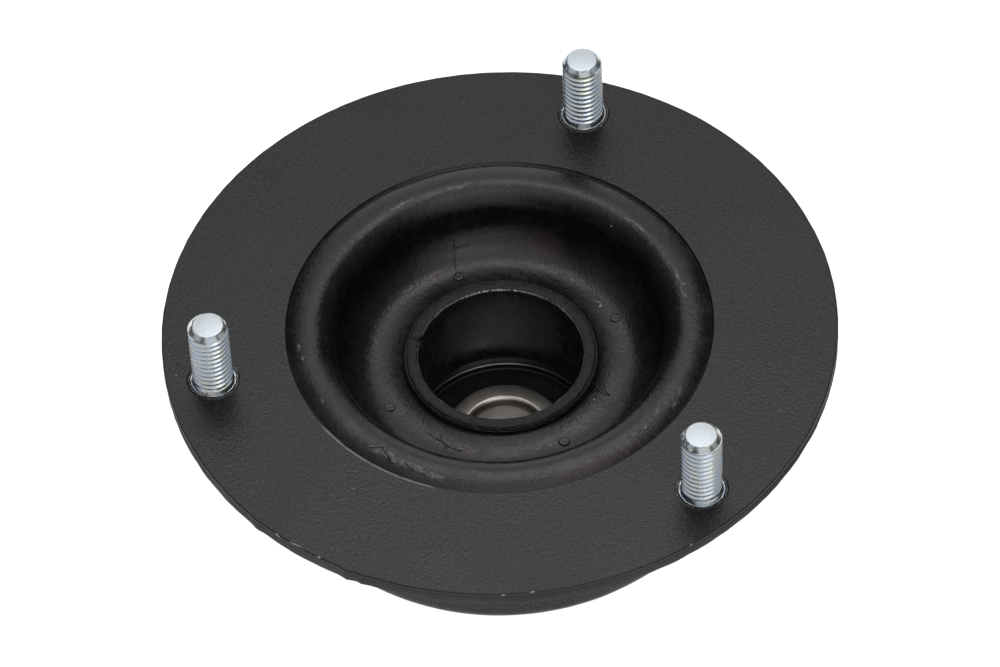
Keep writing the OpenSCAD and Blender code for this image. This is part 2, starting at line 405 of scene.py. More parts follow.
@dataclass(frozen=True)
class SatinPaint(Finish):
    """Satin black paint on pressed steel, sprayed: a dull even black with a fine orange peel.

    Attributes:
        colour: colour of the paint.
        worn: colour of the rubbed rim.
        bare: colour of chipped spots.
        peel_glint: colour of the paler flecks, painted glints of the orange peel.
        peel: size of the orange peel in millimetres, drawn a little coarse so that it shows.
        gloss: how much the paint mirrors.
        cut: share of that left on the sheared rim, which is polished by handling in front.
        chips: chipped places.
        rubs: softly rubbed lines.
        studs: places of the studs, where the pressing has chipped the paint.
        hole: radius of the chipped ring round a stud.
        rim: radius where the rubbed rim starts.
        roughness: middle of its roughness.
    """

    colour: str = "161415"
    worn: str = "1d1413"
    bare: str = "b9b4ae"
    peel_glint: str = "3a3638"
    peel: float = 0.4
    roughness: float = 0.29
    gloss: float = 0.4
    cut: float = 0.12
    chips: tuple[Mark, ...] = ()
    rubs: tuple[Mark, ...] = ()
    studs: tuple[Point, ...] = ()
    hole: float = 4.72
    rim: float = 64.6

    def build(self) -> Material:
        """Builds the material."""
        material, tree, place = self.start()
        coarse, cloud, speckle = (
            add(tree, "TexNoise", {"Vector": place, "Scale": 1 / (size * MM), "Detail": d, "Roughness": r})
            for size, d, r in ((self.peel, 3.0, 0.6), (22, 4.0, 0.5), (0.6, 2.0, 0.7))
        )
        grain = {"Vector": place, "Scale": 1 / (self.peel * 1.3 * MM)}
        cells = add(tree, "TexVoronoi", grain, feature="SMOOTH_F1")
        height = add(tree, "Math", {0: coarse, 1: cells}, operation="ADD")
        tone = add(tree, "MapRange", {"Value": cloud, "From Min": 0.35, "From Max": 0.65})
        # Paler flecks at the peel's scale are painted glints of the orange peel.
        peel_glints = add(tree, "MapRange", {"Value": speckle, "From Min": 0.46, "From Max": 0.7})
        border = {"From Min": (self.rim - 0.5) * MM, "From Max": (self.rim + 0.35) * MM}
        border["Value"] = self.radius(tree, place)
        rubbed = add(tree, "MapRange", border, interpolation_type="SMOOTHSTEP")
        layers = [(tone, "1e1d1f"), (peel_glints, self.peel_glint), (rubbed, self.worn)]
        if self.rubs:
            line = joined(tree, self.rubs, self.wander(tree, place, 1.6, 0.1))
            soft = add(tree, "MapRange", {"Value": line, "From Max": 0.4, "To Max": 0.8})
            layers.append((soft, "8d8785"))
        layers.append((self.bare_mask(tree, place), self.bare))
        paint: Feed | Colour = linear(self.colour)
        for mask, code in layers:
            paint = add(tree, "Mix", {0: mask, 6: paint, 7: linear(code)}, data_type="RGBA")
        spread = {"To Min": self.roughness - 0.05, "To Max": self.roughness + 0.06}
        even = add(tree, "MapRange", {"Value": cloud, "From Min": 0.3, "From Max": 0.7} | spread)
        # The sheared rim below the top face is duller, and handling has polished it in front.
        depth = add(tree, "SeparateXYZ", {0: place}).outputs["Z"]
        face = add(tree, "MapRange", {"Value": depth, "From Min": -0.2 * MM, "From Max": -0.6 * MM})
        handled = add(tree, "VectorMath", {0: place, 1: (0.26, -0.966, 0.0)}, operation="DOT_PRODUCT")
        polish = {"To Min": self.gloss * self.cut, "To Max": self.gloss * max(self.cut, 0.7)}
        shine = add(tree, "MapRange", {"Value": handled, "From Min": 34 * MM, "From Max": 58 * MM} | polish)
        gloss = add(tree, "MapRange", {"Value": face, "To Min": self.gloss, "To Max": shine})
        rough = add(tree, "Math", {0: face, 1: 0.28 * (1 - self.cut), 2: even}, operation="MULTIPLY_ADD")
        bump = add(tree, "Bump", {"Height": height, "Strength": 1.0, "Distance": 0.042 * MM})
        looks = {"Base Color": paint, "Roughness": rough, "Specular IOR Level": gloss, "Normal": bump}
        return self.close(material, looks)

    def bare_mask(self, tree: Tree, place: Feed) -> Feed:
        """Mask of the spots where the paint is chipped.

        Args:
            tree: node tree of the finish.
            place: object coordinates.

        Returns:
            A value that is 1 on bare spots.
        """
        ragged = self.wander(tree, place, 0.7, 0.35)
        grain = {"Vector": place, "Scale": 1 / (0.55 * MM), "Detail": 4.0, "Roughness": 0.7}
        grit = add(tree, "TexNoise", grain)
        speckle = add(tree, "TexVoronoi", {"Vector": place, "Scale": 1 / (7 * MM)})
        specks = add(tree, "MapRange", {"Value": speckle, "From Min": 0.03, "From Max": 0.012})
        masks = [joined(tree, self.chips, ragged)] if self.chips else []
        for x, y in self.studs:
            gap = add(tree, "VectorMath", {0: ragged, 1: (x * MM, y * MM, 0.0)}, operation="DISTANCE")
            band = add(tree, "Math", {0: gap, 1: self.hole * MM}, operation="SUBTRACT")
            size = add(tree, "Math", {0: band}, operation="ABSOLUTE")
            ring = {"Value": size, "From Min": 0.4 * MM, "From Max": 0.0, "To Max": 0.7}
            masks.append(add(tree, "MapRange", ring))
        sharp = add(tree, "Math", {0: highest(tree, masks or [specks]), 1: grit}, operation="MULTIPLY")
        spots = add(tree, "MapRange", {"Value": sharp, "From Min": 0.3, "From Max": 0.44})
        faint = add(tree, "Math", {0: specks, 1: 0.35}, operation="MULTIPLY")
        return highest(tree, [spots, faint])


@dataclass(frozen=True)
class MouldedRubber(Finish):
    """Natural rubber with carbon black, moulded: deep black with a soft sheen, dull where rubbed.

    Attributes:
        colour: colour of the rubber.
        bloom: colour of the dry bloom on it.
        highlight_tint: colour of the painted warm highlights.
        scuff_and_glint_tint: colour of the pale places, scuffs and painted highlights.
        cracks: fine cracks.
        scuffs_and_glints: pale places, partly scuffed wear and partly painted highlights.
        warm_highlights: brownish places painted in as warm highlights on the smooth rubber.
        specks: bright specks.
        roughness: middle of its roughness.
    """

    colour: str = "0c0c0c"
    bloom: str = "1d1c1c"
    highlight_tint: str = "2e211c"
    scuff_and_glint_tint: str = "7f7976"
    cracks: tuple[Mark, ...] = ()
    scuffs_and_glints: tuple[Mark, ...] = ()
    warm_highlights: tuple[Mark, ...] = ()
    specks: tuple[Mark, ...] = ()
    roughness: float = 0.29

    def build(self) -> Material:
        """Builds the material."""
        material, tree, place = self.start()
        cloud, grain, patch = (
            add(tree, "TexNoise", {"Vector": place, "Scale": 1 / (size * MM), "Detail": d, "Roughness": r})
            for size, d, r in ((9, 5.0, 0.6), (0.42, 2.0, 0.5), (1.1, 5.0, 0.7))
        )
        dry = add(tree, "Math", {0: cloud, 1: patch}, operation="MULTIPLY")
        dull = add(tree, "MapRange", {"Value": dry, "From Min": 0.2, "From Max": 0.42})
        base = add(tree, "Mix", {0: dull, 6: linear(self.colour), 7: linear(self.bloom)}, data_type="RGBA")
        spread = {"To Min": self.roughness - 0.06, "To Max": self.roughness + 0.14}
        rough = add(tree, "MapRange", {"Value": dull} | spread)
        # Each relief has its height in millimetres, and a negative one goes inwards.
        dents = [(grain, 0.05), (self.streaks(tree, place), 0.018), (patch, 0.05), (cloud, 0.2)]
        # The pale layer is partly scuffed wear and partly painted highlights, and the brownish layer paints
        # warm highlights.
        rubbed = {"From Min": 0.18, "From Max": 0.42, "To Max": 0.62}
        layers = (
            (self.warm_highlights, (6.0, 1.0), False, {"From Max": 0.5, "To Max": 0.9}, self.highlight_tint, 0.0),
            (self.scuffs_and_glints, (1.6, 0.8), True, rubbed, self.scuff_and_glint_tint, 0.12),
            (self.specks, None, False, {"From Min": 0.2, "From Max": 0.5}, "d8d0c8", 0.0),
            (self.cracks, (2.2, 0.45), False, {"From Min": 0.05, "From Max": 0.4}, "040404", -0.25),
        )
        for marks, bend, torn, ramp, code, dent in layers:
            if not marks:
                continue
            mask = joined(tree, marks, self.wander(tree, place, *bend) if bend else place)
            if torn:
                bent = self.wander(tree, place, 0.9, 0.5)
                shreds = add(tree, "TexNoise", {"Vector": bent, "Scale": 1 / (0.42 * MM), "Detail": 3.0})
                mask = add(tree, "Math", {0: mask, 1: shreds}, operation="MULTIPLY")
            mask = add(tree, "MapRange", {"Value": mask} | ramp)
            base = add(tree, "Mix", {0: mask, 6: base, 7: linear(code)}, data_type="RGBA")
            if dent:
                dents.append((mask, dent))
        normal: Feed | None = None
        for height, size in dents:
            relief = {"Height": height, "Strength": 1.0, "Distance": abs(size) * MM}
            if normal is not None:
                relief["Normal"] = normal
            normal = add(tree, "Bump", relief, invert=size < 0)
        looks = {"Base Color": base, "Roughness": rough, "Normal": normal, "Specular IOR Level": 0.5}
        return self.close(material, looks)

    def streaks(self, tree: Tree, place: Feed) -> Feed:
        """Fine streaks that run up and down the slopes of the ring.

        Args:
            tree: node tree of the finish.
            place: object coordinates.

        Returns:
            A value between 0 and 1.
        """
        flat = add(tree, "VectorMath", {0: place, 1: (1.0, 1.0, 0.0)}, operation="MULTIPLY")
        outward = add(tree, "VectorMath", {0: flat}, operation="NORMALIZE")
        ring = add(tree, "VectorMath", {0: outward, "Scale": 48.0}, operation="SCALE")
        along = add(tree, "VectorMath", {0: place, 1: (60.0, 60.0, 130.0)}, operation="MULTIPLY")
        both = add(tree, "VectorMath", {0: ring, 1: along}, operation="ADD")
        return add(tree, "TexNoise", {"Vector": both, "Scale": 1.5, "Detail": 4.0, "Roughness": 0.65})


@dataclass(frozen=True)
class ZincPlate(Finish):
    """Bright zinc plating with a clear passivation: silver with a faint blue and yellow cast.

    Attributes:
        cool: the blue cast.
        warm: the yellow cast.
        end: colour of the duller cut end.
        head: colour of the dull head below the plate.
        roughness: middle of its roughness.
    """

    cool: str = "c8d3de"
    warm: str = "d8d9d2"
    end: str = "d0d7dc"
    head: str = "8b9197"
    roughness: float = 0.2

    def build(self) -> Material:
        """Builds the material."""
        material, tree, place = self.start()
        cloud, grain = (
            add(tree, "TexNoise", {"Vector": place, "Scale": 1 / (size * MM), "Detail": fine})
            for size, fine in ((2.4, 3.0), (0.22, 2.0))
        )
        cast = add(tree, "MapRange", {"Value": cloud, "From Min": 0.4, "From Max": 0.62})
        spread = {"To Min": self.roughness - 0.05, "To Max": self.roughness + 0.1}
        rough = add(tree, "MapRange", {"Value": grain, "From Min": 0.3, "From Max": 0.7} | spread)
        bump = add(tree, "Bump", {"Height": grain, "Strength": 0.2, "Distance": 0.01 * MM})
        # Only the flat tip faces straight up.
        normal = add(tree, "NewGeometry").outputs["True Normal"]
        facing = add(tree, "SeparateXYZ", {0: normal}).outputs["Z"]
        tip = add(tree, "MapRange", {"Value": facing, "From Min": 0.97, "From Max": 0.995})
        height = add(tree, "SeparateXYZ", {0: place}).outputs["Z"]
        below = add(tree, "MapRange", {"Value": height, "From Min": -0.5 * MM, "From Max": -1.0 * MM})
        tint: Feed | Colour = linear(self.cool)
        for mask, code in ((cast, self.warm), (below, self.head), (tip, self.end)):
            tint = add(tree, "Mix", {0: mask, 6: tint, 7: linear(code)}, data_type="RGBA")
        dull = add(tree, "Math", {0: tip, 1: 0.24, 2: rough}, operation="MULTIPLY_ADD")
        looks = {"Base Color": tint, "Roughness": dull, "Normal": bump, "Metallic": 1.0}
        return self.close(material, looks)


@dataclass(frozen=True)
class CoatedSteel(Finish):
    """Turned steel with a black bonding coat: half glossy, and rubbed to metal on its trimmed edge.

    Attributes:
        colour: colour of the coat.
        bare: colour of the rubbed edge.
        edge: radius of the trimmed edge.
        top: height of the trimmed edge.
        cuts: dark cuts in the rim.
        roughness: middle of its roughness.
    """

    colour: str = "19191a"
    bare: str = "a5a2a0"
    edge: float = 15.9
    top: float = -9.0
    cuts: tuple[Mark, ...] = ()
    roughness: float = 0.38

    def build(self) -> Material:
        """Builds the material."""
        material, tree, place = self.start()
        cloud, grit = (
            add(tree, "TexNoise", {"Vector": place, "Scale": 1 / (size * MM), "Detail": d, "Roughness": r})
            for size, d, r in ((2.4, 5.0, 0.7), (0.45, 3.0, 0.5))
        )
        tone = add(tree, "MapRange", {"Value": cloud, "From Min": 0.38, "From Max": 0.66})
        reach = self.radius(tree, self.wander(tree, place, 1.5, 0.12))
        height = add(tree, "SeparateXYZ", {0: place}).outputs["Z"]
        inner, upper, bore = (
            add(tree, "MapRange", {"Value": value, "From Min": first * MM, "From Max": last * MM})
            for value, first, last in (
                (reach, self.edge + 0.45, self.edge + 0.3), (height, self.top - 0.6, self.top - 0.3),
                (height, self.top - 0.9, self.top - 1.6),
            )
        )
        strip = add(tree, "Math", {0: inner, 1: upper}, operation="MULTIPLY")
        patchy = add(tree, "Math", {0: strip, 1: grit}, operation="MULTIPLY")
        shown = {"Value": patchy, "From Min": 0.36, "From Max": 0.52, "To Max": 0.95}
        rubbed = add(tree, "MapRange", shown)
        layers = [(tone, "2b2a2a"), (rubbed, self.bare)]
        if self.cuts:
            dark = joined(tree, self.cuts, self.wander(tree, place, 1.0, 0.3))
            cut = add(tree, "MapRange", {"Value": dark, "From Min": 0.1, "From Max": 0.45})
            layers.append((cut, "060606"))
        base: Feed | Colour = linear(self.colour)
        for mask, code in layers:
            base = add(tree, "Mix", {0: mask, 6: base, 7: linear(code)}, data_type="RGBA")
        spread = {"To Min": self.roughness - 0.08, "To Max": self.roughness + 0.12}
        rough = add(tree, "MapRange", {"Value": cloud, "From Min": 0.3, "From Max": 0.7} | spread)
        # The turned bore below the edge is smoother and mirrors more.
        gloss = add(tree, "MapRange", {"Value": bore, "To Min": 0.26, "To Max": 0.8})
        smooth = add(tree, "Math", {0: bore, 1: -0.16, 2: rough}, operation="MULTIPLY_ADD")
        relief = add(tree, "MapRange", {"Value": bore, "To Min": 1.0, "To Max": 0.12})
        bump = add(tree, "Bump", {"Height": grit, "Strength": relief, "Distance": 0.18 * MM})
        looks = {"Base Color": base, "Roughness": smooth, "Metallic": rubbed, "Normal": bump}
        return self.close(material, looks | {"Specular IOR Level": gloss})


@dataclass(frozen=True)
class GroundSteel(Finish):
    """Hardened bearing steel, ground: grey metal with fine rings that run round the axis.

    Attributes:
        colour: colour of the steel.
        stain: colour of the grease film on it.
        ring: spacing of the grinding rings in millimetres, drawn coarse enough to show.
        roughness: middle of its roughness.
    """

    colour: str = "bdb8b1"
    stain: str = "9a928a"
    ring: float = 0.22
    roughness: float = 0.33

    def build(self) -> Material:
        """Builds the material."""
        material, tree, place = self.start()
        cloud = add(tree, "TexNoise", {"Vector": place, "Scale": 1 / (4 * MM), "Detail": 4.0})
        height = add(tree, "SeparateXYZ", {0: place}).outputs["Z"]
        reach = add(tree, "Math", {0: self.radius(tree, place), 1: height}, operation="ADD")
        lines = {"W": reach, "Scale": 1 / (self.ring * MM), "Detail": 2.0}
        rings = add(tree, "TexNoise", lines, noise_dimensions="1D")
        film = add(tree, "MapRange", {"Value": cloud, "From Min": 0.45, "From Max": 0.75})
        tint = add(tree, "Mix", {0: film, 6: linear(self.colour), 7: linear(self.stain)}, data_type="RGBA")
        spread = {"To Min": self.roughness - 0.08, "To Max": self.roughness + 0.1}
        rough = add(tree, "MapRange", {"Value": rings, "From Min": 0.25, "From Max": 0.75} | spread)
        bump = add(tree, "Bump", {"Height": rings, "Strength": 0.4, "Distance": 0.02 * MM})
        looks = {"Base Color": tint, "Roughness": rough, "Normal": bump, "Metallic": 1.0}
        return self.close(material, looks)


@dataclass
class MountingPlate:
    """Round steel plate with a wide opening and three stud holes.

    Attributes:
        outer: radius of the rim.
        opening: radius of the opening over the rubber.
        thickness: sheet thickness.
        edge: rounding of its edges.
        hole: radius of a stud hole at the top face.
        circle: radius of the stud circle.
        angles: directions of the studs in degrees.
        steps: pieces of the rim, the opening and a hole.
        burr: how far the rim's lower edge hangs down.
    """

    outer: float = 65.0
    opening: float = 41.2
    thickness: float = 2.5
    edge: float = 0.4
    hole: float = 4.5
    circle: float = 56.0
    angles: tuple[float, ...] = (90.0, 210.0, 330.0)
    steps: tuple[int, int, int] = (420, 300, 56)
    burr: float = 0.3

    def places(self) -> tuple[Point, ...]:
        """Places of the studs in millimetres."""
        turns = [math.radians(a) for a in self.angles]
        return tuple((self.circle * math.cos(a), self.circle * math.sin(a)) for a in turns)

    def finish(self) -> Material:
        """Builds the plate's paint with its chips."""
        chips = (
            Mark(-108.5, 64.75, 0.0, 7.5, 0.8, depth=2.0), Mark(-104.0, 64.85, -0.1, 4.0, 0.6, depth=2.0),
            Mark(-112.5, 64.9, -0.2, 3.0, 0.7, depth=2.0), Mark(-67.4, 64.85, -0.1, 3.2, 0.7, depth=2.0),
            Mark(-72.0, 64.95, -0.3, 1.8, 0.5, depth=2.0), Mark(-39.3, 64.85, -0.1, 1.4, 0.7, depth=2.0),
            Mark(-5.8, 57.8, 0.0, 1.1, 0.5, 40.0, depth=2.0),
            Mark(-152.5, 62.7, 0.0, 1.0, 0.5, 20.0, depth=2.0),
            Mark(-143.0, 57.0, 0.0, 0.9, 0.5, 60.0, depth=2.0),
        )
        rubs = tuple(Mark(t, 41.35, 0.0, 9.0, 0.6, depth=1.2) for t in (-122, -113, -104, -95))
        return SatinPaint("satin_black_paint", chips=chips, rubs=rubs, studs=self.places()).build()

    def build(self) -> Object:
        """Builds the plate.

        Returns:
            The piece that stands for the plate.
        """
        bm = bmesh.new()
        rim_steps, opening_steps, hole_steps = self.steps
        rings = [(0.0, 0.0, self.outer, rim_steps), (0.0, 0.0, self.opening, opening_steps)]
        rings += [(x, y, self.hole, hole_steps) for x, y in self.places()]
        for x, y, radius, count in rings:
            bmesh.ops.create_circle(
                bm,
                radius=radius * MM,
                segments=count,
                matrix=Matrix.Translation((x * MM, y * MM, -self.thickness * MM)),
            )
        bmesh.ops.triangle_fill(
            bm, edges=bm.edges, use_beauty=True, use_dissolve=False, normal=(0.0, 0.0, -1.0)
        )
        lifted = bmesh.ops.extrude_face_region(bm, geom=bm.faces[:], use_keep_orig=True)
        top = [g for g in lifted["geom"] if isinstance(g, bmesh.types.BMVert)]
        bmesh.ops.translate(bm, verts=top, vec=(0.0, 0.0, self.thickness * MM))
        bmesh.ops.recalc_face_normals(bm, faces=bm.faces)
        corners = [
            e
            for e in bm.edges
            if len(e.link_faces) == 2 and e.calc_face_angle(0.0) > math.radians(60)
        ]
        border = (self.outer - 1) * MM
        inner = [e for e in corners if e.verts[0].co.xy.length < border]
        outer = [e for e in corners if e.verts[0].co.xy.length >= border]
        for edges, share in ((outer, 0.55), (inner, 0.1)):
            bmesh.ops.bevel(
                bm,
                geom=edges,
                offset=self.edge * share * MM,
                affect="EDGES",
                segments=3,
                profile=0.5,
                material=-1,
            )
        self.wear(bm)
        self.lips(bm)
        for e in bm.edges:
            flat = [abs(f.normal.z) > 0.9999 for f in e.link_faces]
            e.smooth = len(flat) != 2 or flat[0] == flat[1]
        return piece(bm, "mounting_plate", self.finish(), Body.MOUNT, ("top_plate",))

    def wear(self, bm: Mesh) -> None:
        """Gives the stamped rim its small burrs.

        Args:
            bm: mesh of the plate.
        """
        # Angle, height and width of each larger burr.
        burrs = ((-98.6, 0.45, 1.1), (-95.9, 0.3, 0.8), (-117.0, 0.2, 1.0), (-61.0, 0.18, 0.9))
        for v in bm.verts:
            radius = math.hypot(v.co.x, v.co.y)
            if radius < (self.outer - 1.0) * MM:
                continue
            turn = math.degrees(math.atan2(v.co.y, v.co.x))
            rough = noise.noise(Vector((v.co.x, v.co.y, v.co.z * 2)) / (2.5 * MM))
            reach = 0.07 * rough
            for angle, size, width in burrs:
                reach += size * math.exp(-(((turn - angle) / width) ** 2))
            v.co.xy *= 1 + reach * MM / radius
            if v.co.z < -self.thickness * MM / 2:
                v.co.z -= (self.burr + 0.12 * rough) * MM

    def lips(self, bm: Mesh) -> None:
        """Raises a ragged lip of paint round each stud hole.

        Args:
            bm: mesh of the plate.
        """
        for i, (x, y) in enumerate(self.places()):
            lip = [(4.45, -0.4), (4.5, 0.02), (4.62, 0.14), (4.8, 0.16), (5.0, 0.06), (5.25, -0.04)]
            for v in lathe(bm, lip, 72, (x, y)):
                spot = v.co / (0.9 * MM) + Vector((0.0, 0.0, 9.0 * i))
                if v.co.z > 0:
                    v.co.z *= 0.4 + 1.6 * noise.noise(spot * 1.4)
                    v.co.z = max(v.co.z, -0.05 * MM)


@dataclass
class Studs:
    """Three threaded studs that are pressed into the plate from below.

    Attributes:
        crest: outer radius of the thread.
        root: inner radius of the thread.
        plain: radius where the thread has run out.
        pitch: pitch of the thread.
        chamfer: length of the tip's chamfer.
        heights: heights of the studs above the plate.
        collar: radius of the pressed-in collar.
        head: radius of the head.
        head_top: height of the head's upper face.
        head_low: height of the head's lower face.
        steps: pieces of a full turn.
    """

    crest: float = 3.88
    root: float = 3.12
    plain: float = 3.95
    pitch: float = 1.25
    chamfer: float = 0.95
    heights: tuple[float, ...] = (15.8, 16.3, 16.3)
    collar: float = 4.9
    head: float = 6.5
    head_top: float = -4.5
    head_low: float = -6.5
    steps: int = 56

    def build(self, places: tuple[Point, ...]) -> Object:
        """Builds the studs.

        Args:
            places: places of the studs in millimetres.

        Returns:
            The piece that stands for the studs.
        """
        bm = bmesh.new()
        for i, ((x, y), height) in enumerate(zip(places, self.heights)):
            verts = self.thread(bm, height) + self.shoulder(bm, i)
            turn = Matrix.Rotation(1.9 * i + 0.6, 4, "Z")
            bmesh.ops.transform(
                bm, matrix=Matrix.Translation((x * MM, y * MM, 0.0)) @ turn, verts=verts
            )
        return piece(
            bm,
            "threaded_studs",
            ZincPlate("bright_zinc_plate").build(),
            Body.MOUNT,
            ("studs",),
            crease=50.0,
        )

    def section(self, low: float) -> list[Point]:
        """Section of one turn of the thread from root to root.

        Args:
            low: height of its lower end.

        Returns:
            The points of the section.
        """
        p = self.pitch
        shape = (
            (self.root, 0.0), (self.root, 0.07), (self.crest - 0.04, 0.38), (self.crest, 0.41),
            (self.crest, 0.59), (self.crest - 0.04, 0.62), (self.root, 0.93), (self.root, 1.0),
        )
        return [(r, low + t * p) for r, t in shape]

    def thread(self, bm: Mesh, height: float) -> Verts:
        """Screws one turn's section up the stud, tapers its tip and closes it.

        Args:
            bm: mesh that takes the thread.
            height: height of the stud.

        Returns:
            The vertices of the thread.
        """
        part = bmesh.new()
        verts = [part.verts.new((r * MM, 0.0, z * MM)) for r, z in self.section(-1.5 * self.pitch)]
        edges = [part.edges.new(pair) for pair in zip(verts, verts[1:])]
        bmesh.ops.spin(
            part,
            geom=verts + edges,
            cent=(0.0, 0.0, 0.0),
            axis=(0.0, 0.0, 1.0),
            dvec=(0.0, 0.0, self.pitch * MM / self.steps),
            angle=math.tau,
            steps=self.steps,
        )
        for turns in (1, 2, 4, 8):
            copied(part, Matrix.Translation((0.0, 0.0, turns * self.pitch * MM)))
        bmesh.ops.remove_doubles(part, verts=part.verts, dist=2e-6)
        for level, side in ((0.0, -1.0), (height, 1.0)):
            bmesh.ops.bisect_plane(
                part,
                geom=part.verts[:] + part.edges[:] + part.faces[:],
                dist=1e-7,
                plane_co=(0.0, 0.0, level * MM),
                plane_no=(0.0, 0.0, side),
                clear_outer=True,
            )
        for v in part.verts:
            radius = math.hypot(v.co.x, v.co.y) / MM
            left = height - v.co.z / MM
            limit = self.crest - max(0.0, self.chamfer - left)
            # The thread runs out at the plate and fades into the tip.
            fade = min(1.0, max(0.0, (1.1 - v.co.z / MM) / 0.7, (1.05 - left) / 0.5))
            target = min(radius + (self.plain - radius) * fade, limit)
            v.co.xy *= target / radius
        rim = [
            e
            for e in part.edges
            if e.is_boundary and all(v.co.z > (height - 0.01) * MM for v in e.verts)
        ]
        cap = bmesh.ops.contextual_create(part, geom=rim)
        bmesh.ops.bevel(
            part,
            geom=list(dict.fromkeys(e for f in cap["faces"] for e in f.edges)),
            offset=0.14 * MM,
            affect="EDGES",
            segments=2,
            profile=0.5,
            material=-1,
        )
        return poured(part, bm)

    def shoulder(self, bm: Mesh, seed: int) -> Verts:
        """Builds the pressed-in collar with its burr, and the head below.

        Args:
            bm: mesh that takes the shapes.
            seed: number of the stud.

        Returns:
            The vertices of the collar and the head.
        """
        ring = [
            (3.85, 0.9), (3.97, 0.5), (4.08, 0.24), (4.2, 0.12), (4.3, 0.1), (4.38, 0.14), (4.44, 0.06),
            (4.46, -0.35),
        ]
        verts = lathe(bm, ring, 88)
        for v in verts:
            radius = math.hypot(v.co.x, v.co.y) / MM
            if radius > 4.25 and v.co.z > 0.0:
                spot = v.co / (1.1 * MM) + Vector((0.0, 0.0, 7.0 * seed))
                v.co.z += 0.16 * noise.noise(spot) * MM
                v.co.xy *= 1 + 0.015 * noise.noise(spot * 1.7)
        body = rounded(
            [
                (0.0, self.head_low), (self.head, self.head_low), (self.head, self.head_top),
                (self.collar, self.head_top), (self.collar, -0.4), (0.0, -0.4),
            ],
            0.4,
            closed=False,
        )
        return verts + lathe(bm, body, 64, closed=False)


@dataclass
class LowerCup:
    """Pressed steel cup under the plate that holds the rubber.

    Attributes:
        outer: outside radius of the wall.
        sheet: sheet thickness.
        bend: outside radius of the bends.
        flange: radius of the flange.
        top: height of the flange's upper face.
        bottom: height of the bottom.
        lip: inside radius of the bottom lip.
    """

    outer: float = 46.0
    sheet: float = 2.0
    bend: float = 3.0
    flange: float = 63.0
    top: float = -2.5
    bottom: float = -34.0
    lip: float = 40.0

    def section(self) -> list[Point]:
        """Section of the cup, from the flange's edge down the inside and back up the outside."""
        inner = self.bend - self.sheet
        flange_low = self.top - self.sheet
        centre_top = (self.outer + inner, self.top - self.bend)
        centre_low = (self.outer - self.bend, self.bottom + self.bend)
        rim = [(self.flange - 0.25, flange_low), (self.flange, flange_low + 0.25)]
        rim += [(self.flange, self.top - 0.25), (self.flange - 0.25, self.top)]
        inside = arc(centre_top, self.bend, 90, 180, 10)
        inside += arc(centre_low, inner, 0, -90, 8)
        lip = rounded(
            [
                inside[-1],
                (self.lip, self.bottom + self.sheet), (self.lip, self.bottom),
                (centre_low[0], self.bottom),
            ],
            0.4,
            closed=False,
        )
        outside = arc(centre_low, self.bend, -90, 0, 12)
        outside += arc(centre_top, inner, 180, 90, 8)
        return rim + inside + lip[1:-1] + outside

    def build(self) -> Object:
        """Builds the cup.

        Returns:
            The piece that stands for the cup.
        """
        bm = bmesh.new()
        verts = lathe(bm, self.section(), 240)
        for v in verts:
            spot = v.co / (6.0 * MM)
            v.co.xy *= 1 + 0.0012 * noise.noise(spot)
        finish = SatinPaint("satin_black_cup_paint", colour="111112", gloss=0.18, cut=1.0, rim=80.0)
        return piece(bm, "lower_cup_shell", finish.build(), Body.MOUNT, ("lower_cup",))


